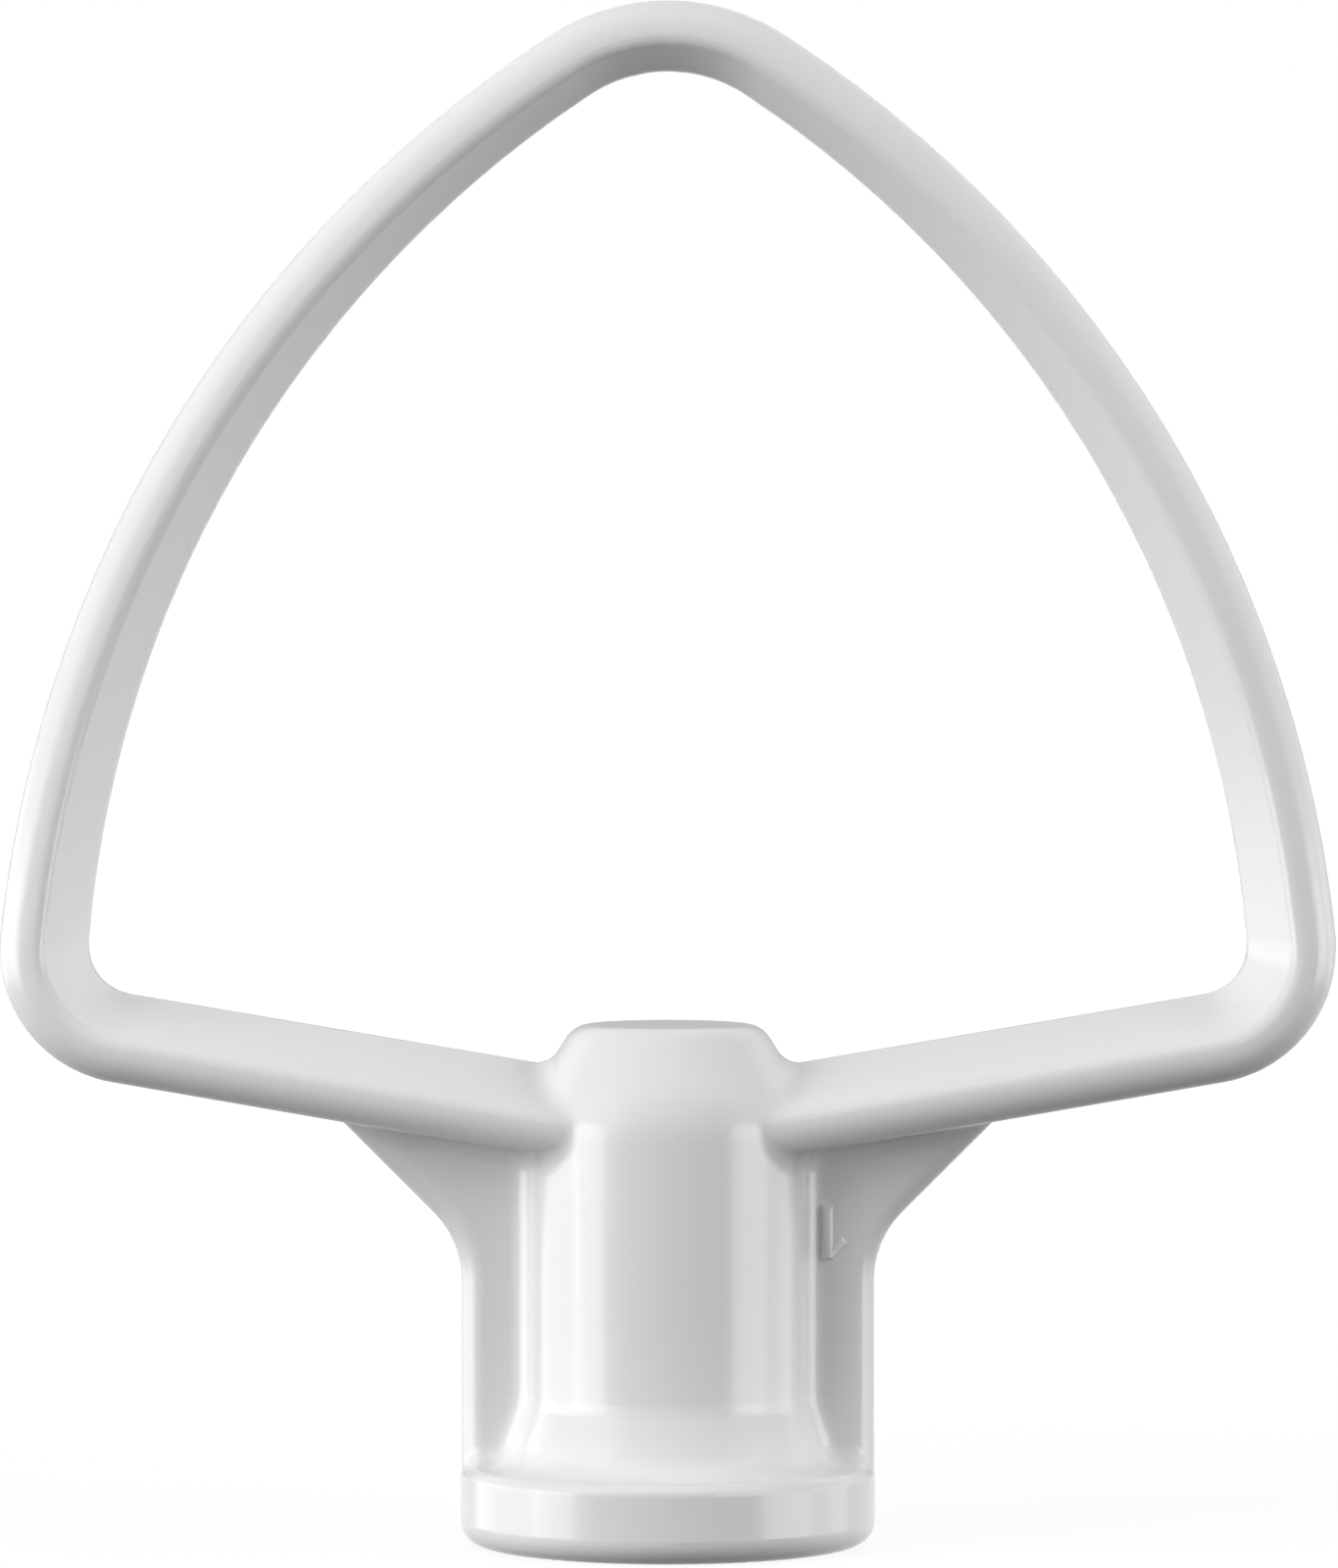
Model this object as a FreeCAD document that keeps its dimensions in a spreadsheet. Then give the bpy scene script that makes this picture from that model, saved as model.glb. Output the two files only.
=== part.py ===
import FreeCAD, Part
import math
import os
import Sketcher

# Driving dimensions, in millimetres and degrees
SIZES = {
    # Loop outline, seen from the front
    "overall_height": 138.1,
    "loop_width": 118.9,
    "tip_radius": 19.0,
    "side_radius": 108.5,
    "corner_radius": 12.0,
    "rail_slope": 9.8,
    "rail_foot": 33.3,
    "apex_radius": 20.0,
    # Loop section
    "rail_depth": 19.6,
    "tip_depth": 10.8,
    "nose_width": 3.95,
    "inner_draft_angle": 23.0,
    "outer_round": 2.9,
    "crease_round": 1.2,
    "ridge_round": 2.0,
    # Hub and collar
    "collar_diameter": 37.2,
    "collar_height": 7.1,
    "foot_round": 2.2,
    "collar_round": 1.0,
    "flare_diameter": 29.2,
    "flare_top": 13.0,
    "flare_round": 4.0,
    "ledge_round": 2.6,
    "hub_diameter": 25.6,
    "shoulder_height": 39.6,
    "shoulder_round": 9.0,
    "crown_diameter": 16.8,
    "crown_height": 46.65,
    "crown_round": 2.5,
    # Webs between the collar, the hub and the rails
    "web_setback": 0.1,
    "web_thickness": 5.0,
    "web_round": 2.0,
    "web_knee_height": 27.3,
    "web_knee_radius": 8.5,
    "web_angle": 45.0,
    # Blends where the loop and the webs run into the hub
    "rail_blend": 2.2,
    "web_blend": 2.0,
    # Drive socket
    "bore_diameter": 12.9,
    "bore_depth": 38.0,
    "bore_lead": 0.8,
    "pin_slot_width": 5.4,
    "pin_reach": 11.0,
    "channel_top": 16.0,
    "channel_height": 5.8,
    "channel_turn_angle": 60.0,
    "detent_depth": 2.2,
    # How far a cut runs past the face that it opens
    "overrun": 1.0,
}

# Angle at which the loop's front and back lean towards each other on the way to the tip
LEAN = "atan((sizes.rail_depth - sizes.tip_depth) / 2 / (sizes.overall_height - sizes.rail_foot))"

# Height on the axis at which the webs' tops end, inside the rails
RAIL_MIDDLE = "(sizes.rail_foot + sizes.nose_width / cos(sizes.rail_slope))"

# Half-width of the webs, a little inside the collar
WEB_EDGE = "(sizes.collar_diameter / 2 - sizes.web_setback)"

# Sketcher's numbers for the ends of a line or arc, the centre of an arc, and the sketch's own axes
START, END, CENTRE = range(1, 4)
HORIZONTAL_AXIS, VERTICAL_AXIS = -1, -2
ORIGIN = (HORIZONTAL_AXIS, START)

# Distance below which two places count as one
TOUCH = 0.001


def make_sheet(doc):
    """Fills the spreadsheet that every size below is bound to."""
    sheet = doc.addObject("Spreadsheet::Sheet", "sizes")
    for row, (name, value) in enumerate(SIZES.items(), 1):
        sheet.set(f"A{row}", name)
        sheet.set(f"B{row}", str(value))
        sheet.setAlias(f"B{row}", name)
    doc.recompute()


def number(owner, expression):
    """Works out an expression over the spreadsheet as a plain number."""
    value = owner.evalExpression(expression)
    return getattr(value, "Value", value)


def origin_feature(body, role):
    return next(item for item in body.Origin.OriginFeatures if item.Role == role)


def middle_of(edge):
    return edge.valueAt((edge.FirstParameter + edge.LastParameter) / 2)


def edge_names(shape, wanted):
    return [f"Edge{index}" for index, edge in enumerate(shape.Edges, 1) if wanted(edge)]


# Sketching

def add_sketch(body, name, plane):
    sketch = body.newObject("Sketcher::SketchObject", name)
    sketch.AttachmentSupport = [(origin_feature(body, plane), "")]
    sketch.MapMode = "FlatFace"
    return sketch


def offset_sketch(sketch, turn_axis, turn, **shifts):
    """Turns a sketch on its plane's axis and shifts it along x, y or z, all by expressions."""
    any_turn = FreeCAD.Rotation(turn_axis, 1)
    sketch.AttachmentOffset = FreeCAD.Placement(FreeCAD.Vector(), any_turn)
    sketch.setExpression("AttachmentOffset.Rotation.Angle", turn)
    for direction, expression in shifts.items():
        sketch.setExpression(f"AttachmentOffset.Base.{direction}", expression)


def constrain(sketch, *constraint):
    return sketch.addConstraint(Sketcher.Constraint(*constraint))


def bind(sketch, name, expression, *constraint):
    """Adds a size to a sketch under a name and ties it to an expression."""
    index = constrain(sketch, *constraint)
    sketch.renameConstraint(index, name)
    sketch.setExpression(f"Constraints.{name}", expression)


def point_at(sketch, across, up):
    return FreeCAD.Vector(number(sketch, across), number(sketch, up), 0)


def draw_polygon(sketch, corners):
    """Draws a closed outline of straight lines and binds both places of each corner."""
    points = [point_at(sketch, across, up) for across, up in corners]
    count = len(points)
    for index, point in enumerate(points):
        sketch.addGeometry(Part.LineSegment(point, points[(index + 1) % count]))
    for index in range(count):
        constrain(sketch, "Coincident", index, END, (index + 1) % count, START)
    for index, (across, up) in enumerate(corners):
        bind(sketch, f"across_{index}", across, "DistanceX", *ORIGIN, index, START, points[index].x)
        bind(sketch, f"up_{index}", up, "DistanceY", *ORIGIN, index, START, points[index].y)


def arc(centre, radius, first, last):
    return Part.ArcOfCircle(Part.Circle(centre, FreeCAD.Vector(0, 0, 1), radius), first, last)


def polar(centre, radius, angle):
    return centre + FreeCAD.Vector(radius * math.cos(angle), radius * math.sin(angle), 0)


def mirrored(point):
    return FreeCAD.Vector(-point.x, point.y, 0)


def draw_loop(sketch, inset, height_form):
    """Draws the loop's outline: apex, rails, corners, sides and tip, each tangent to the next.

    inset is how far the outline lies inside the outer wall, and height_form turns a height above the
    foot into the sketch's own height. Both are expressions.
    """
    radii = {part: f"sizes.{part}_radius - {inset}" for part in ("apex", "corner", "side", "tip")}
    apex_place = height_form.format("sizes.rail_foot + sizes.apex_radius / cos(sizes.rail_slope)")
    tip_place = height_form.format("sizes.overall_height - sizes.tip_radius")
    corner_place = "sizes.loop_width / 2 - sizes.corner_radius"

    slope = math.radians(number(sketch, "sizes.rail_slope"))
    radius = {part: number(sketch, expression) for part, expression in radii.items()}
    apex = point_at(sketch, "0", apex_place)
    tip = point_at(sketch, "0", tip_place)
    corner = point_at(sketch, corner_place, apex_place)
    corner.y += corner.x * math.tan(slope) + (radius["corner"] - radius["apex"]) / math.cos(slope)

    # The side's circle touches the tip's and the corner's from outside
    span = corner - tip
    from_tip = radius["side"] - radius["tip"]
    from_corner = radius["side"] - radius["corner"]
    along = (from_tip ** 2 - from_corner ** 2 + span.Length ** 2) / (2 * span.Length)
    aside = math.sqrt(from_tip ** 2 - along ** 2)
    step = span / span.Length
    side = tip + step * along + FreeCAD.Vector(step.y, -step.x, 0) * aside

    # Angles at which the outline passes from one arc to the next on the right
    rail_end = slope - math.pi / 2
    corner_end = math.atan2(corner.y - side.y, corner.x - side.x)
    side_end = math.atan2(tip.y - side.y, tip.x - side.x)
    rail_start = polar(apex, radius["apex"], rail_end)
    rail_stop = polar(corner, radius["corner"], rail_end)
    sketch.addGeometry([
        arc(apex, radius["apex"], -math.pi - rail_end, rail_end),
        Part.LineSegment(rail_start, rail_stop),
        arc(corner, radius["corner"], rail_end, corner_end),
        arc(side, radius["side"], corner_end, side_end),
        arc(tip, radius["tip"], side_end, math.pi - side_end),
        arc(mirrored(side), radius["side"], math.pi - side_end, math.pi - corner_end),
        arc(mirrored(corner), radius["corner"], math.pi - corner_end, math.pi - rail_end),
        Part.LineSegment(mirrored(rail_stop), mirrored(rail_start)),
    ])
    count = sketch.GeometryCount
    for index in range(count):
        constrain(sketch, "Tangent", index, END, (index + 1) % count, START)
    apex_arc, right_rail, right_corner, right_side, tip_arc, left_side, left_corner, _ = range(count)
    constrain(sketch, "PointOnObject", apex_arc, CENTRE, VERTICAL_AXIS)
    constrain(sketch, "PointOnObject", tip_arc, CENTRE, VERTICAL_AXIS)
    constrain(sketch, "Equal", right_corner, left_corner)
    constrain(sketch, "Equal", right_side, left_side)
    constrain(sketch, "Symmetric", right_corner, CENTRE, left_corner, CENTRE, VERTICAL_AXIS)

    bind(sketch, "apex", radii["apex"], "Radius", apex_arc, radius["apex"])
    bind(sketch, "corner", radii["corner"], "Radius", right_corner, radius["corner"])
    bind(sketch, "side", radii["side"], "Radius", right_side, radius["side"])
    bind(sketch, "tip", radii["tip"], "Radius", tip_arc, radius["tip"])
    bind(sketch, "slope", "sizes.rail_slope", "Angle", right_rail, slope)
    bind(sketch, "apex_place", apex_place, "DistanceY", *ORIGIN, apex_arc, CENTRE, apex.y)
    bind(sketch, "tip_place", tip_place, "DistanceY", *ORIGIN, tip_arc, CENTRE, tip.y)
    bind(sketch, "corner_place", corner_place, "DistanceX", *ORIGIN, right_corner, CENTRE, corner.x)


# Features

def add_pad(body, name, sketch, length):
    pad = body.newObject("PartDesign::Pad", name)
    pad.Profile = sketch
    pad.SideType = "Symmetric"
    pad.setExpression("Length", length)
    body.Document.recompute()
    return pad


def add_pocket(body, name, sketch, length, reverse=False):
    pocket = body.newObject("PartDesign::Pocket", name)
    pocket.Profile = sketch
    pocket.Reversed = reverse
    pocket.setExpression("Length", length)
    body.Document.recompute()
    return pocket


def draft_pocket(pocket, draft, die_direction):
    """Gives a pocket drafted walls about the direction in which the die opens."""
    pocket.UseCustomVector = True
    pocket.Direction = die_direction
    pocket.AlongSketchNormal = False
    pocket.setExpression("TaperAngle", f"-{draft}")
    pocket.Document.recompute()


def add_turned(body, kind, name, sketch, angle="360"):
    """Adds a Revolution or a Groove about the sketch's upright axis."""
    turned = body.newObject(kind, name)
    turned.Profile = sketch
    turned.ReferenceAxis = (sketch, ["V_Axis"])
    turned.setExpression("Angle", angle)
    body.Document.recompute()


def add_fillet(body, name, base, edges, radius):
    fillet = body.newObject("PartDesign::Fillet", name)
    fillet.Base = (base, edges)
    fillet.setExpression("Radius", radius)
    body.Document.recompute()
    return fillet


def join_and_blend(body, name, piece, radius):
    """Joins another body to this one and rounds the seam where their skins cross."""
    base = body.Tip
    seam = base.Shape.section(piece.Shape)
    joined = body.newObject("PartDesign::Boolean", f"{name}_join")
    joined.setObjects([piece])
    body.Tip = joined
    body.Document.recompute()
    edges = edge_names(
        joined.Shape, lambda edge: seam.distToShape(Part.Vertex(middle_of(edge)))[0] < TOUCH
    )
    add_fillet(body, f"{name}_blend", joined, edges, radius)


# Loop: the beating frame, drafted from its front and back edges to a ridge in the middle

def lay_on_front(sketch):
    """Lays a sketch on the loop's front, which leans back from the rails to the tip."""
    offset_sketch(
        sketch, FreeCAD.Vector(1, 0, 0), f"-{LEAN}", y="sizes.rail_foot", z="sizes.rail_depth / 2"
    )


def leaning_faces(shape, lean):
    """Finds the flat faces of the loop's front and back."""
    return [
        face for face in shape.Faces
        if isinstance(face.Surface, Part.Plane)
        and abs(abs(face.normalAt(0, 0).y) - math.cos(lean)) < TOUCH
    ]


def make_loop(doc):
    body = doc.addObject("PartDesign::Body", "loop")
    outline = add_sketch(body, "loop_outline", "XZ_Plane")
    draw_loop(outline, "0", "({})")
    add_pad(body, "loop_blank", outline, "sizes.rail_depth")

    front = add_sketch(body, "front_plane", "XZ_Plane")
    lay_on_front(front)
    draw_polygon(front, [
        ("-sizes.loop_width", "-sizes.overall_height"),
        ("sizes.loop_width", "-sizes.overall_height"),
        ("sizes.loop_width", "sizes.overall_height"),
        ("-sizes.loop_width", "sizes.overall_height"),
    ])
    front_cut = add_pocket(body, "front_cut", front, "sizes.rail_depth", reverse=True)

    crease = add_sketch(body, "crease_outline", "XZ_Plane")
    lay_on_front(crease)
    draw_loop(crease, "sizes.nose_width", "(({} - sizes.rail_foot) / cos(" + LEAN + "))")
    opening = add_pocket(body, "opening", crease, "sizes.rail_depth / 2 + sizes.overrun")
    draft_pocket(opening, "sizes.inner_draft_angle", FreeCAD.Vector(0, 1, 0))

    both = body.newObject("PartDesign::Mirrored", "front_and_back")
    both.Originals = [front_cut, opening]
    both.MirrorPlane = (origin_feature(body, "XZ_Plane"), [""])
    body.Tip = both
    doc.recompute()
    round_loop(body, both)
    return body


def round_loop(body, base):
    """Rounds the loop's outer edges, the creases inside them and the ridge in the middle."""
    lean = math.radians(number(base, LEAN))
    faces = leaning_faces(base.Shape, lean)
    outer = [edge for face in faces for edge in face.OuterWire.Edges]
    outer_names = edge_names(base.Shape, lambda edge: any(edge.isSame(other) for other in outer))
    rounded = add_fillet(body, "outer_rounding", base, outer_names, "sizes.outer_round")

    faces = leaning_faces(rounded.Shape, lean)
    inner = [
        edge for face in faces for wire in face.Wires if not wire.isSame(face.OuterWire)
        for edge in wire.Edges
    ]
    inner_names = edge_names(rounded.Shape, lambda edge: any(edge.isSame(other) for other in inner))
    creased = add_fillet(body, "crease_rounding", rounded, inner_names, "sizes.crease_round")

    ridge_names = edge_names(
        creased.Shape,
        lambda edge: all(abs(point.y) < TOUCH for point in (middle_of(edge), *edge.discretize(2))),
    )
    add_fillet(body, "ridge_rounding", creased, ridge_names, "sizes.ridge_round")


# Webs: flat fins in the middle plane from the collar up to the rails

def make_webs(doc):
    body = doc.addObject("PartDesign::Body", "webs")
    outline = add_sketch(body, "web_outline", "XZ_Plane")
    top_across = (
        f"(({RAIL_MIDDLE} - sizes.web_knee_height + {WEB_EDGE} * tan(sizes.web_angle))"
        " / (tan(sizes.web_angle) - tan(sizes.rail_slope)))"
    )
    top_up = f"{RAIL_MIDDLE} + {top_across} * tan(sizes.rail_slope)"
    draw_polygon(outline, [
        (f"-{WEB_EDGE}", "sizes.collar_height / 2"),
        (WEB_EDGE, "sizes.collar_height / 2"),
        (WEB_EDGE, "sizes.web_knee_height"),
        (top_across, top_up),
        ("0", RAIL_MIDDLE),
        (f"-{top_across}", top_up),
        (f"-{WEB_EDGE}", "sizes.web_knee_height"),
    ])
    blank = add_pad(body, "web_blank", outline, "sizes.web_thickness")

    edge_across = number(outline, WEB_EDGE)
    knee_up = number(outline, "sizes.web_knee_height")

    def is_knee(edge):
        middle = middle_of(edge)
        return abs(abs(middle.x) - edge_across) < TOUCH and abs(middle.z - knee_up) < TOUCH

    knees = add_fillet(
        body, "web_knees", blank, edge_names(blank.Shape, is_knee), "sizes.web_knee_radius"
    )

    half_thick = number(outline, "sizes.web_thickness / 2")
    axis_up = number(outline, RAIL_MIDDLE)
    slope = math.tan(math.radians(number(outline, "sizes.rail_slope")))

    def is_rim(edge):
        middle = middle_of(edge)
        on_face = abs(abs(middle.y) - half_thick) < TOUCH
        below_top = axis_up + abs(middle.x) * slope - middle.z > TOUCH
        return on_face and below_top and abs(middle.x) > edge_across - TOUCH

    add_fillet(body, "web_rounding", knees, edge_names(knees.Shape, is_rim), "sizes.web_round")
    return body


# Hub: collar, flare, barrel and crown, turned about the drive axis

def make_hub(doc):
    body = doc.addObject("PartDesign::Body", "flat_beater")
    profile = add_sketch(body, "hub_profile", "XZ_Plane")
    collar = "sizes.collar_diameter / 2"
    flare = "sizes.flare_diameter / 2"
    barrel = "sizes.hub_diameter / 2"
    crown = "sizes.crown_diameter / 2"
    draw_polygon(profile, [
        ("0", "0"),
        (collar, "0"),
        (collar, "sizes.collar_height"),
        (flare, "sizes.collar_height"),
        (barrel, "sizes.flare_top"),
        (barrel, "sizes.shoulder_height"),
        (crown, "sizes.crown_height"),
        ("0", "sizes.crown_height"),
    ])
    add_turned(body, "PartDesign::Revolution", "hub_blank", profile)
    for name, across, up in (
        ("foot", collar, "0"),
        ("collar", collar, "sizes.collar_height"),
        ("ledge", flare, "sizes.collar_height"),
        ("flare", barrel, "sizes.flare_top"),
        ("shoulder", barrel, "sizes.shoulder_height"),
        ("crown", crown, "sizes.crown_height"),
    ):
        round_ring(body, name, number(profile, across), number(profile, up))
    return body


def round_ring(body, name, radius, height):
    """Rounds one circular edge of the hub."""
    base = body.Tip
    names = edge_names(
        base.Shape,
        lambda edge: isinstance(edge.Curve, Part.Circle)
        and abs(edge.Curve.Radius - radius) < TOUCH
        and abs(edge.Curve.Center.z - height) < TOUCH,
    )
    add_fillet(body, f"{name}_rounding", base, names, f"sizes.{name}_round")


# Socket: a blind bore for the drive shaft, with a bayonet slot for the pin through the shaft

def cut_socket(body):
    bore = add_sketch(body, "bore_profile", "XZ_Plane")
    radius = "sizes.bore_diameter / 2"
    mouth = f"{radius} + sizes.bore_lead"
    draw_polygon(bore, [
        ("0", "-sizes.overrun"),
        (mouth, "-sizes.overrun"),
        (mouth, "0"),
        (radius, "sizes.bore_lead"),
        (radius, "sizes.bore_depth"),
        ("0", "sizes.bore_depth"),
    ])
    add_turned(body, "PartDesign::Groove", "bore", bore)

    half_slot = "sizes.pin_slot_width / 2"
    slot_outline = [
        (f"-{half_slot}", "0"),
        (half_slot, "0"),
        (half_slot, "sizes.pin_reach"),
        (f"-{half_slot}", "sizes.pin_reach"),
    ]
    slot = add_sketch(body, "pin_slot_outline", "XY_Plane")
    draw_polygon(slot, slot_outline)
    add_pocket(body, "pin_slot", slot, "sizes.channel_top", reverse=True)

    channel = add_sketch(body, "channel_profile", "YZ_Plane")
    channel_floor = "sizes.channel_top - sizes.channel_height"
    draw_polygon(channel, [
        ("0", channel_floor),
        ("sizes.pin_reach", channel_floor),
        ("sizes.pin_reach", "sizes.channel_top"),
        ("0", "sizes.channel_top"),
    ])
    add_turned(body, "PartDesign::Groove", "pin_channel", channel, "sizes.channel_turn_angle")

    detent = add_sketch(body, "detent_outline", "XY_Plane")
    offset_sketch(detent, FreeCAD.Vector(0, 0, 1), "sizes.channel_turn_angle", z="sizes.channel_top")
    draw_polygon(detent, slot_outline)
    add_pocket(body, "pin_detent", detent, "sizes.channel_height + sizes.detent_depth")


def check_document(doc):
    """Stops the build if any feature failed or left a broken shape."""
    solid_kinds = ("PartDesign::Feature", "PartDesign::Body")
    for item in doc.Objects:
        if {"Invalid", "Error"} & set(item.State):
            raise RuntimeError(f"{item.Name} failed: {item.State}")
        if any(item.isDerivedFrom(kind) for kind in solid_kinds) and not item.Shape.isValid():
            raise RuntimeError(f"{item.Name} has no valid shape")


def main():
    os.makedirs("parts", exist_ok=True)
    doc = FreeCAD.newDocument("flat_beater")
    make_sheet(doc)
    loop = make_loop(doc)
    webs = make_webs(doc)
    beater = make_hub(doc)
    join_and_blend(beater, "rail", loop, "sizes.rail_blend")
    join_and_blend(beater, "web", webs, "sizes.web_blend")
    cut_socket(beater)
    beater.Label = "flat_beater"
    doc.recompute()
    check_document(doc)
    beater.Shape.exportStep(f"parts/{beater.Label}.step")


main()
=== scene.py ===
"""Dresses the stand mixer flat beater: its white coating, its casting mark and the studio around it.

Sizes are in metres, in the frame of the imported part: the collar's foot stands on z = 0, the drive axis
is Z, and the photograph looks along +Y.
"""

import logging
import math
from collections.abc import Callable
from dataclasses import dataclass, field
from enum import Enum
from functools import reduce

import bpy
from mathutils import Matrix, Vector


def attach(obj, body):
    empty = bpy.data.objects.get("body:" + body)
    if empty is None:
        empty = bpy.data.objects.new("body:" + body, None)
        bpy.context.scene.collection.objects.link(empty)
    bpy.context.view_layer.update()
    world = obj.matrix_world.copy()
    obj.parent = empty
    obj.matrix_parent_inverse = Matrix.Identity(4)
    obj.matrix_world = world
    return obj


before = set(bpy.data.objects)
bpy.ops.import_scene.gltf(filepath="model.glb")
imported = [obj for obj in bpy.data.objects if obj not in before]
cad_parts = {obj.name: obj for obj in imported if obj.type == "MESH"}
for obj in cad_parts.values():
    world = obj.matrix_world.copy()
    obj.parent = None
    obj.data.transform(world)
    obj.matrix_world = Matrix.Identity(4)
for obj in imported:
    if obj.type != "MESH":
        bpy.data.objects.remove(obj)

log = logging.getLogger("flat_beater")

Colour = tuple[float, float, float, float]
Place = tuple[float, float, float]

BODY = "root"

# Edges flatter than this are shaded smooth
CREASE_ANGLE = math.radians(50.0)

# Turn that stands a flat sheet upright, facing the camera's side
UPRIGHT = (math.pi / 2, 0.0, 0.0)


def grey(level: float) -> Colour:
    """Gives the opaque grey of one linear level."""
    return (level, level, level, 1.0)


WHITE = grey(1.0)


class StudioRay(Enum):
    """Kinds of ray that see the studio as plain white, whatever light it sends to the object."""

    CAMERA = "Is Camera Ray"
    GLOSS = "Is Glossy Ray"
    TRANSMISSION = "Is Transmission Ray"


class NodeBoard:
    """A node tree that is being wired.

    Args:
        tree: The material's or world's node tree, which is emptied first.
    """

    def __init__(self, tree: bpy.types.NodeTree) -> None:
        """Takes the tree over and empties it."""
        self.tree = tree
        self.tree.nodes.clear()

    def add(self, kind: str, label: str, **inputs: object) -> bpy.types.Node:
        """Adds one node and fills its sockets.

        Args:
            kind: Blender's name of the node type.
            label: What the node does on this object.
            **inputs: Values or output sockets by socket name, with _ for a space.

        Returns:
            The new node.
        """
        node = self.tree.nodes.new(kind)
        node.label = label
        for name, value in inputs.items():
            self.feed(node.inputs[name.replace("_", " ")], value)
        return node

    def feed(self, socket: bpy.types.NodeSocket, value: object) -> None:
        """Fills one input by a wire from an output socket, or else by the value itself."""
        if isinstance(value, bpy.types.NodeSocket):
            self.tree.links.new(value, socket)
        else:
            socket.default_value = value

    def math(self, operation: str, label: str, first: object, second: object) -> bpy.types.NodeSocket:
        """Adds a Math node.

        Args:
            operation: Blender's name of the operation.
            label: What the result is.
            first: The first number or output socket.
            second: The second number or output socket.

        Returns:
            The result's socket.
        """
        node = self.add("ShaderNodeMath", label)
        node.operation = operation
        for socket, value in zip(node.inputs, (first, second)):
            self.feed(socket, value)
        return node.outputs["Value"]

    def white_rays(self) -> bpy.types.NodeSocket:
        """Gives 1 for the rays that see the studio as white, and 0 for those that light the object.

        Returns:
            The socket that holds that number.
        """
        path = self.add("ShaderNodeLightPath", "kind of ray")
        kinds = [path.outputs[ray.value] for ray in StudioRay]
        return reduce(lambda one, other: self.math("MAXIMUM", "sees white", one, other), kinds)


@dataclass(frozen=True)
class WhiteCoating:
    """The glossy white coating that the die casting is dipped in.

    Args:
        name: The material's name.
        body: Its colour where it lies thin.
        pool: Its colour where it lies thick.
        pool_size: Length of one pool.
        pool_edge: Noise levels between which thin turns to thick.
        smooth: Roughness on the smoothest patches.
        dull: Roughness on the dullest patches.
        dull_size: Length of one such patch.
        refraction: Its index of refraction.
        peel_size: Length of one dimple of the coating's skin.
        peel_depth: Depth of one dimple.
    """

    name: str = "white coating"
    body: Colour = grey(0.82)
    pool: Colour = grey(0.83)
    pool_size: float = 0.018
    pool_edge: tuple[float, float] = (0.35, 0.65)
    smooth: float = 0.19
    dull: float = 0.23
    dull_size: float = 0.006
    refraction: float = 1.55
    peel_size: float = 0.0016
    peel_depth: float = 0.000004

    def material(self) -> bpy.types.Material:
        """Wires the coating as a procedural material on object coordinates.

        Returns:
            The new material.
        """
        material = bpy.data.materials.new(self.name)
        material.use_nodes = True
        board = NodeBoard(material.node_tree)
        place = board.add("ShaderNodeTexCoord", "place on the casting").outputs["Object"]

        pools = board.add(
            "ShaderNodeTexNoise", "pools of the dip", Vector=place, Scale=1 / self.pool_size, Detail=2.0
        )
        tint = board.add("ShaderNodeValToRGB", "thin to thick", Fac=pools.outputs["Fac"])
        for stop, level, colour in zip(tint.color_ramp.elements, self.pool_edge, (self.body, self.pool)):
            stop.position, stop.color = level, colour

        patches = board.add(
            "ShaderNodeTexNoise", "dull patches", Vector=place, Scale=1 / self.dull_size, Detail=3.0
        )
        gloss = board.add(
            "ShaderNodeMapRange", "smooth to dull", Value=patches.outputs["Fac"], To_Min=self.smooth,
            To_Max=self.dull,
        )

        dimples = board.add(
            "ShaderNodeTexNoise", "skin of the dip", Vector=place, Scale=1 / self.peel_size, Detail=1.0
        )
        peel = board.add(
            "ShaderNodeBump", "dimples", Height=dimples.outputs["Fac"], Distance=self.peel_depth, Strength=1.0
        )

        shader = board.add(
            "ShaderNodeBsdfPrincipled", "coating", Base_Color=tint.outputs["Color"],
            Roughness=gloss.outputs["Result"], Normal=peel.outputs["Normal"], IOR=self.refraction,
        )
        board.add("ShaderNodeOutputMaterial", "surface", Surface=shader.outputs["BSDF"])
        return material


@dataclass
class Casting:
    """The beater itself: one die casting, shown by its CAD node with a better finish.

    Args:
        node: The CAD node's name.
        coating: The material that covers it.
    """

    node: str
    coating: bpy.types.Material

    def dress(self) -> bpy.types.Object:
        """Puts the coating on the CAD node.

        Returns:
            The CAD node.
        """
        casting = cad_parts[self.node]
        for slot in casting.material_slots:
            slot.material = self.coating
        return casting


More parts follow.
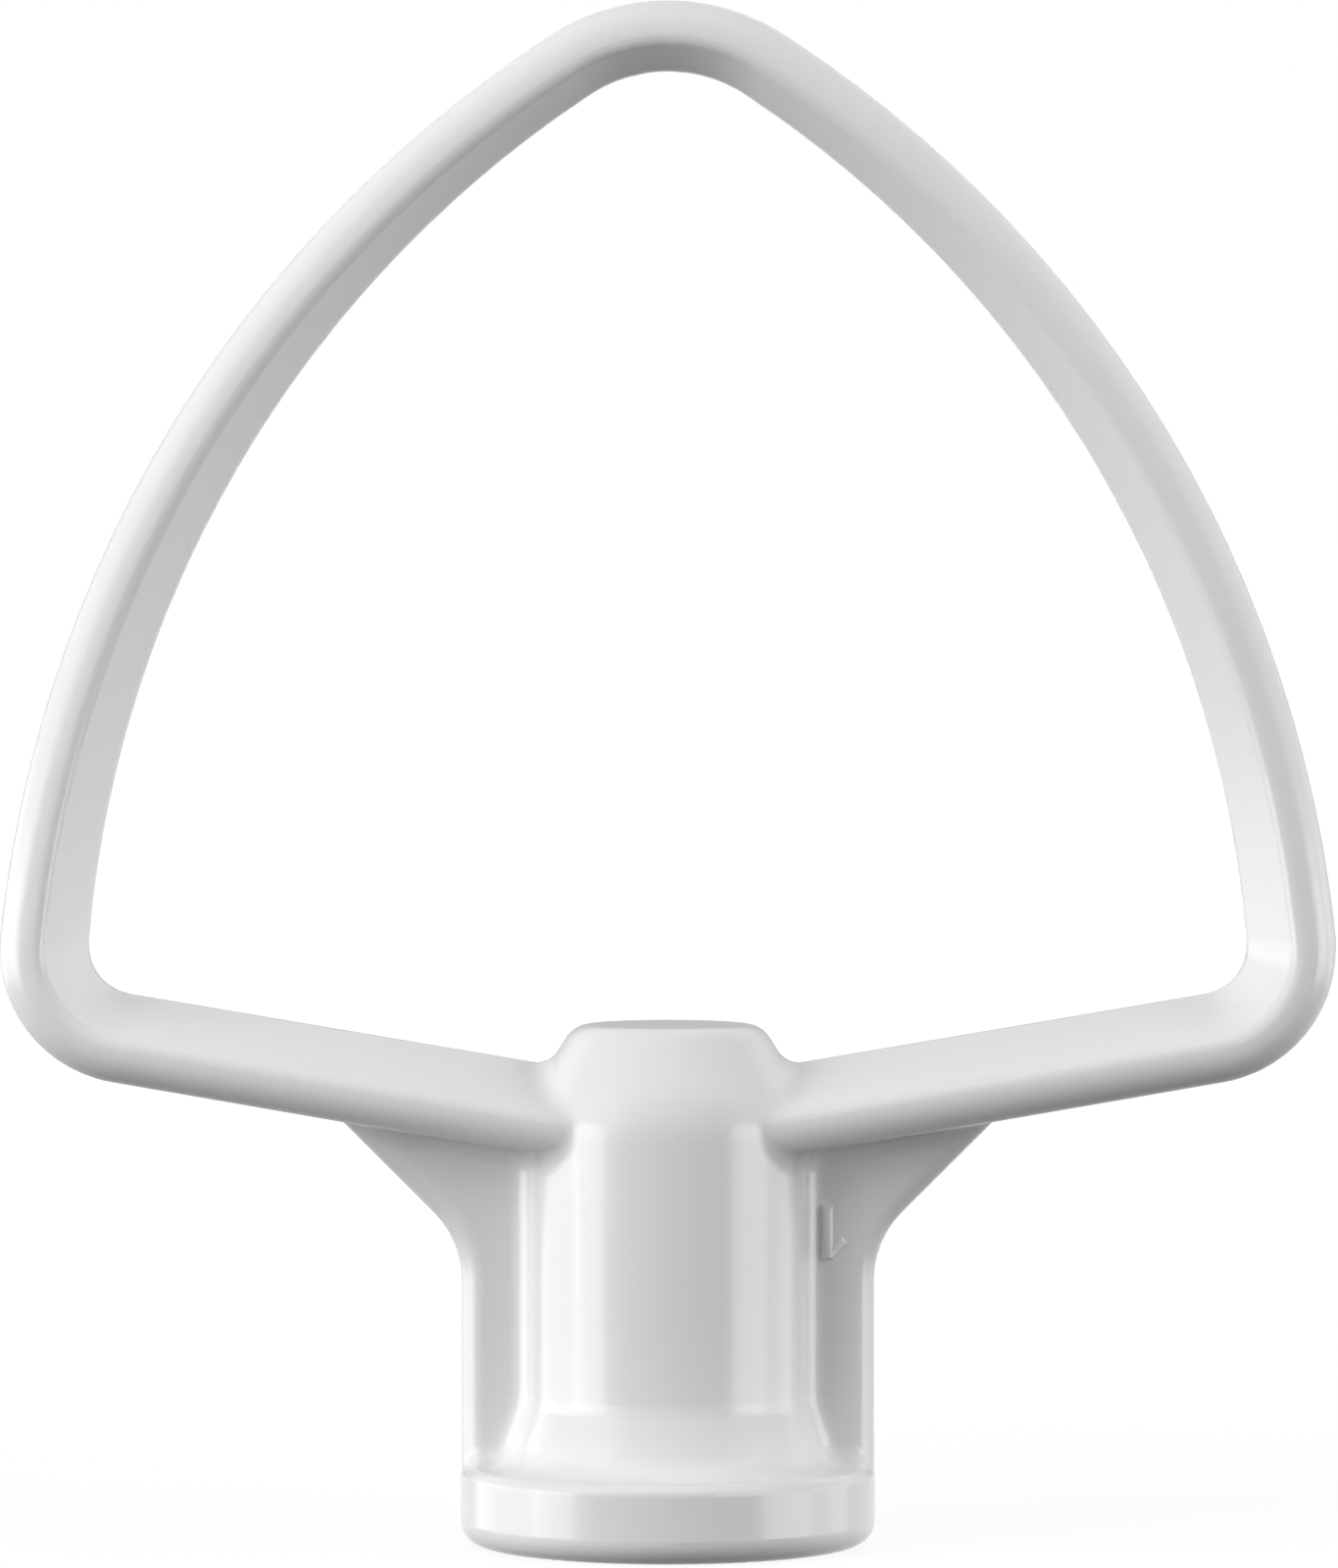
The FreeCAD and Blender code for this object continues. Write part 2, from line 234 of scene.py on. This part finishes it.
@dataclass(frozen=True)
class Ridge:
    """One raised line of a cast numeral, half round across.

    Args:
        foot: Where its middle line starts, along X and Z.
        head: Where its middle line ends, along X and Z.
        width: Its width.
        relief: How far it stands proud.
        fullness: Share of the width that each rounded edge takes up.
        facets: How many facets each rounded edge has.
    """

    foot: tuple[float, float]
    head: tuple[float, float]
    width: float
    relief: float
    fullness: float = 0.46
    facets: int = 6

    def build(self, ground: float, root: float) -> bpy.types.Object:
        """Models the ridge from a block with rounded front edges.

        Args:
            ground: Place along Y of the face that it stands on.
            root: How far it reaches into that face.

        Returns:
            The ridge.
        """
        along = Vector(self.head) - Vector(self.foot)
        across, up = (Vector(self.head) + Vector(self.foot)) / 2
        front, back = ground - self.relief, ground + root
        bpy.ops.object.select_all(action="DESELECT")
        bpy.ops.mesh.primitive_cube_add(
            size=1.0, location=(across, (front + back) / 2, up), rotation=(0.0, math.atan2(*along), 0.0)
        )
        ridge = bpy.context.object
        ridge.scale = (self.width, back - front, along.length + self.width)
        bpy.ops.object.transform_apply(location=True, rotation=True, scale=True)

        bpy.ops.object.mode_set(mode="EDIT")
        select_points(ridge, lambda point: point.y < ground)
        bpy.ops.mesh.region_to_loop()
        bpy.ops.mesh.bevel(
            offset=self.width * self.fullness, segments=self.facets, affect="EDGES", clamp_overlap=True
        )
        bpy.ops.object.mode_set(mode="OBJECT")
        return ridge


@dataclass
class CavityMark:
    """The numeral that names the die's cavity, raised on the right web and upside down in the photograph.

    Args:
        coating: The material that covers it.
        name: The piece's name.
        web_front: Place of the web's front face along Y.
        root: How far it reaches into the web.
        stroke: Its upright stroke.
        flag: The short line that leaves the stroke's foot.
    """

    coating: bpy.types.Material
    name: str = "cavity_mark"
    web_front: float = -0.0025
    root: float = 0.0003
    stroke: Ridge = Ridge(foot=(0.0143, 0.0262), head=(0.0143, 0.0301), width=0.0010, relief=0.00052)
    flag: Ridge = Ridge(foot=(0.0144, 0.0262), head=(0.0155, 0.0272), width=0.0008, relief=0.00036)

    def build(self) -> bpy.types.Object:
        """Models the two lines of the numeral and joins them to one body.

        Returns:
            The finished piece.
        """
        flag = self.flag.build(self.web_front, self.root)
        mark = self.stroke.build(self.web_front, self.root)
        mark.name = self.name
        union = mark.modifiers.new("flag", "BOOLEAN")
        union.operation, union.solver, union.object = "UNION", "EXACT", flag
        bpy.ops.object.modifier_apply(modifier=union.name)
        bpy.data.objects.remove(flag)
        bpy.ops.object.shade_smooth_by_angle(angle=CREASE_ANGLE)
        return mark

    def dress(self, mark: bpy.types.Object) -> None:
        """Coats the numeral and lets it ride on the casting."""
        mark.data.materials.append(self.coating)
        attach(mark, BODY)


def select_points(piece: bpy.types.Object, wanted: Callable[[Vector], bool]) -> None:
    """Selects the points of a piece in edit mode by their place, with the edges and faces between them.

    Args:
        piece: The piece, in edit mode.
        wanted: Says of a place whether its point is selected.
    """
    bpy.ops.mesh.select_mode(type="VERT")
    bpy.ops.mesh.select_all(action="DESELECT")
    bpy.ops.object.mode_set(mode="OBJECT")
    for vertex in piece.data.vertices:
        vertex.select = wanted(vertex.co)
    bpy.ops.object.mode_set(mode="EDIT")


class LampUse(Enum):
    """What a lamp is for: whether it lights the coating's body, and whether the coating's gloss shows it."""

    FILL = (True, False)
    GLEAM = (False, True)


@dataclass(frozen=True)
class Panel:
    """A soft upright panel lamp on one side of the beater.

    Args:
        name: The lamp's name.
        azimuth: Angle from the camera's side to the lamp, in degrees, to the right.
        width: Its width.
        watts: Its power.
        height: Its height.
        elevation: Angle from level to its middle, in degrees.
        distance: How far its middle stands from the place that it points at.
        use: What it is for.
    """

    name: str
    azimuth: float
    width: float
    watts: float
    height: float = 1.2
    elevation: float = 9.5
    distance: float = 1.0
    use: LampUse = LampUse.FILL

    def hang(self, target: Vector) -> bpy.types.Object:
        """Hangs the lamp and turns it to the target.

        Args:
            target: The place that it points at.

        Returns:
            The lamp.
        """
        light = bpy.data.lights.new(self.name, "AREA")
        light.shape = "RECTANGLE"
        light.size, light.size_y = self.width, self.height
        light.energy = self.watts
        lamp = bpy.data.objects.new(self.name, light)
        aside, up = math.radians(self.azimuth), math.radians(self.elevation)
        level = math.cos(up)
        way = Vector((math.sin(aside) * level, -math.cos(aside) * level, math.sin(up)))
        lamp.location = target + way * self.distance
        lamp.rotation_euler = (-way).to_track_quat("-Z", "Y").to_euler()
        lamp.visible_diffuse, lamp.visible_glossy = self.use.value
        bpy.context.scene.collection.objects.link(lamp)
        return lamp


@dataclass(frozen=True)
class GleamStrip(Panel):
    """A low panel that the hub's upright faces mirror as a gleam, too low for level tops to mirror it.

    Args:
        height: Its height.
        elevation: Angle from level to its middle, in degrees.
        use: What it is for.
    """

    height: float = 0.40
    elevation: float = -3.0
    use: LampUse = LampUse.GLEAM


@dataclass
class EdgeCard:
    """A grey card behind the beater that only its gloss shows, so that its edges stand out from the room.

    Args:
        distance: How far behind the drive axis it stands.
        width: Its width.
        height: Its height above the floor.
        level: How bright it looks, where 1 is white.
    """

    distance: float = 1.0
    width: float = 1.6
    height: float = 0.5
    level: float = 0.4

    def build(self) -> bpy.types.Object:
        """Stands the card up and leaves it out of everything but the gloss.

        Returns:
            The card.
        """
        bpy.ops.object.select_all(action="DESELECT")
        middle = (0.0, self.distance, self.height / 2)
        bpy.ops.mesh.primitive_plane_add(size=1.0, location=middle, rotation=UPRIGHT)
        card = bpy.context.object
        card.name = "edge_card"
        card.scale = (self.width, self.height, 1.0)
        bpy.ops.object.transform_apply(location=True, rotation=True, scale=True)
        card.visible_camera = card.visible_diffuse = card.visible_transmission = card.visible_shadow = False
        card.data.materials.append(self._material())
        return card

    def _material(self) -> bpy.types.Material:
        """Wires the card's even grey.

        Returns:
            The new material.
        """
        material = bpy.data.materials.new("edge card")
        material.use_nodes = True
        board = NodeBoard(material.node_tree)
        sheet = board.add("ShaderNodeEmission", "card", Color=WHITE, Strength=self.level)
        board.add("ShaderNodeOutputMaterial", "surface", Surface=sheet.outputs["Emission"])
        return material


@dataclass
class Studio:
    """The white room around the beater: floor, surroundings, grey card and lamps.

    Args:
        target: The place that the lamps point at.
        floor_size: Length of the floor's side.
        floor_level: How much of the light the floor gives back to the camera.
        floor_bounce: How much of the light the floor gives back to the beater.
        floor_glow: How white the floor looks near the beater, before the lamps.
        glow_near: Distance from the axis within which it looks like that.
        glow_far: Distance from the axis past which it looks plain white.
        ambient: Level of the light that comes from all round.
        card: The card that the beater's edges mirror.
        lamps: The soft lamps: panels that light the coating's body, and strips that its gloss shows.
    """

    target: Place = (0.0, 0.0, 0.068)
    floor_size: float = 40.0
    floor_level: float = 0.16
    floor_bounce: float = 0.05
    floor_glow: float = 0.87
    glow_near: float = 0.10
    glow_far: float = 0.60
    ambient: float = 0.22
    card: EdgeCard = field(default_factory=EdgeCard)
    lamps: list[Panel] = field(
        default_factory=lambda: [
            Panel("left_fill", azimuth=-48.0, width=0.50, watts=3.5),
            Panel("left_panel", azimuth=-60.0, width=0.66, watts=8.2),
            Panel("left_side", azimuth=-82.0, width=0.50, watts=3.9),
            Panel("right_front", azimuth=55.0, width=0.26, watts=1.0),
            Panel("right_panel", azimuth=72.0, width=0.52, watts=7.0),
            Panel("right_wing", azimuth=103.0, width=0.50, watts=3.0),
            Panel("back_left", azimuth=-160.0, width=0.40, watts=1.6),
            Panel("back_right", azimuth=155.0, width=0.40, watts=2.4),
            GleamStrip("left_gleam", azimuth=-66.0, width=0.50, watts=2.3),
            GleamStrip("left_side_gleam", azimuth=-87.0, width=0.40, watts=1.3),
            GleamStrip("left_back_gleam", azimuth=-115.0, width=0.60, watts=1.6),
            GleamStrip("right_gleam", azimuth=70.0, width=0.60, watts=2.6),
            GleamStrip("right_back_gleam", azimuth=103.0, width=0.50, watts=1.0),
        ]
    )

    def build(self) -> None:
        """Lays the floor, sets the surroundings, stands the card up and hangs the lamps."""
        log.info("stage %s", self._lay_floor().name)
        self._surround()
        log.info("stage %s", self.card.build().name)
        for panel in self.lamps:
            log.info("lamp %s", panel.hang(Vector(self.target)).name)

    def _lay_floor(self) -> bpy.types.Object:
        """Lays a plain floor that looks white, keeps the beater's shadow and is left out of its gloss.

        Returns:
            The floor.
        """
        bpy.ops.object.select_all(action="DESELECT")
        bpy.ops.mesh.primitive_plane_add(size=self.floor_size)
        floor = bpy.context.object
        floor.name = "floor"
        floor.data.materials.append(self._floor_material())
        floor.visible_glossy = False
        return floor

    def _floor_material(self) -> bpy.types.Material:
        """Wires the floor: a pale ground that lamps light, lifted to white for the camera.

        Returns:
            The new material.
        """
        material = bpy.data.materials.new("studio floor")
        material.use_nodes = True
        board = NodeBoard(material.node_tree)
        place = board.add("ShaderNodeTexCoord", "place on the floor").outputs["Object"]
        distance = board.add("ShaderNodeVectorMath", "distance from the axis")
        distance.operation = "LENGTH"
        board.feed(distance.inputs[0], place)
        glow = board.add(
            "ShaderNodeMapRange", "lift to white", Value=distance.outputs["Value"], From_Min=self.glow_near,
            From_Max=self.glow_far, To_Min=self.floor_glow, To_Max=1.0,
        )
        seen = board.white_rays()
        strength = board.math("MULTIPLY", "lift that is seen", glow.outputs["Result"], seen)
        tone = board.add(
            "ShaderNodeMapRange", "bounced or seen", Value=seen, To_Min=self.floor_bounce,
            To_Max=self.floor_level,
        )
        lit = board.add("ShaderNodeBsdfDiffuse", "ground", Color=tone.outputs["Result"])
        lifted = board.add("ShaderNodeEmission", "white", Strength=strength)
        both = board.add("ShaderNodeAddShader", "ground and white")
        for socket, part in zip(both.inputs, (lit.outputs["BSDF"], lifted.outputs["Emission"])):
            board.feed(socket, part)
        board.add("ShaderNodeOutputMaterial", "surface", Surface=both.outputs["Shader"])
        return material

    def _surround(self) -> None:
        """Sets the room: white to look at, and a plain ambient light for the beater."""
        world = bpy.data.worlds.new("studio")
        world.use_nodes = True
        board = NodeBoard(world.node_tree)
        level = board.add(
            "ShaderNodeMapRange", "white or ambient", Value=board.white_rays(), To_Min=self.ambient,
            To_Max=1.0,
        )
        room = board.add("ShaderNodeBackground", "room", Color=WHITE, Strength=level.outputs["Result"])
        board.add("ShaderNodeOutputWorld", "surroundings", Surface=room.outputs["Background"])
        bpy.context.scene.world = world


@dataclass
class PhotoCamera:
    """The camera of the photograph: a long lens, a little above the middle of the beater.

    Args:
        aim: The place in the middle of the picture.
        distance: How far the camera stands from it.
        pitch: How far it looks down, in radians.
        lens: Focal length in millimetres.
        sensor: Length of the sensor's long side in millimetres.
    """

    aim: Place = (0.0001, 0.0, 0.0682)
    distance: float = 0.8
    pitch: float = 0.031
    lens: float = 205.0
    sensor: float = 36.0

    def place(self) -> bpy.types.Object:
        """Places the camera and makes it the scene's.

        Returns:
            The camera.
        """
        data = bpy.data.cameras.new("photo camera")
        data.lens = self.lens
        data.sensor_width = self.sensor
        camera = bpy.data.objects.new("photo_camera", data)
        back = Vector((0.0, -math.cos(self.pitch), math.sin(self.pitch)))
        camera.location = Vector(self.aim) + back * self.distance
        camera.rotation_euler = (math.pi / 2 - self.pitch, 0.0, 0.0)
        bpy.context.scene.collection.objects.link(camera)
        bpy.context.scene.camera = camera
        return camera


def main() -> None:
    """Builds the pieces, the studio and the camera in order."""
    logging.basicConfig(level=logging.INFO, format="%(name)s: %(message)s")
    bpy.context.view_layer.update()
    bpy.context.scene.view_settings.view_transform = "Standard"

    coating = WhiteCoating().material()
    casting = Casting("flat_beater", coating).dress()
    log.info("piece %s", casting.name)

    mark_maker = CavityMark(coating)
    mark = mark_maker.build()
    mark_maker.dress(mark)
    log.info("piece %s", mark.name)

    Studio().build()
    log.info("camera %s", PhotoCamera().place().name)


if __name__ == "__main__":
    main()
